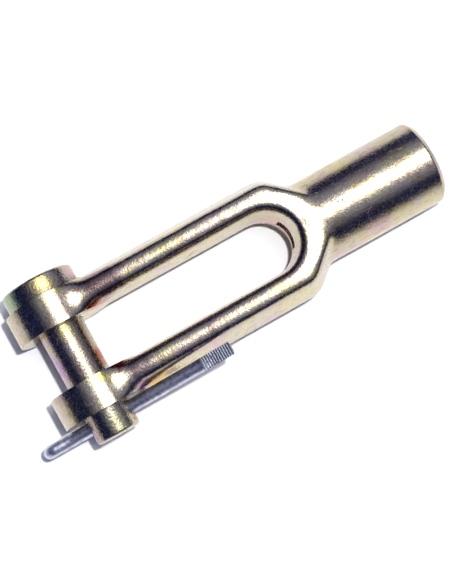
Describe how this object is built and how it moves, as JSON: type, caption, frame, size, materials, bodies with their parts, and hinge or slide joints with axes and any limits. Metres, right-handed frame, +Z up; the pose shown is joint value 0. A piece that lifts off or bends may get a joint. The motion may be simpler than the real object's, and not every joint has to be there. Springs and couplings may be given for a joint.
{
  "type": "clevis rod end",
  "caption": "Forged yoke end with a threaded socket for a rod, two bored ears, a headed clevis pin across them and a split pin that keeps the clevis pin in.",
  "frame": {"origin": "on the clevis pin's axis, midway between the two ears", "axes": "+X along the shank to its open threaded end, +Y along the clevis pin to its head, +Z up from the table it lies on"},
  "size_m": [0.1309, 0.0471, 0.0242],
  "materials": {
    "yellow_zinc_steel": "yellow zinc chromate over forged and turned steel",
    "bright_zinc_steel": "bright zinc"
  },
  "bodies": {
    "clevis_body": {"clevis_body": "yellow_zinc_steel"},
    "clevis_pin": {"clevis_pin": "yellow_zinc_steel"},
    "split_pin": {"split_pin": "bright_zinc_steel"}
  },
  "joints": [
    {"name": "pin_turn", "type": "hinge", "parent": "clevis_body", "child": "clevis_pin", "pos_m": [0, 0, 0], "axis": [0, -1, 0], "range_deg": [-4, 146]},
    {"name": "split_pin_pull", "type": "slide", "parent": "clevis_pin", "child": "split_pin", "axis": [-0.9563, 0, -0.2924], "range_m": [0, 0.0446]}
  ]
}
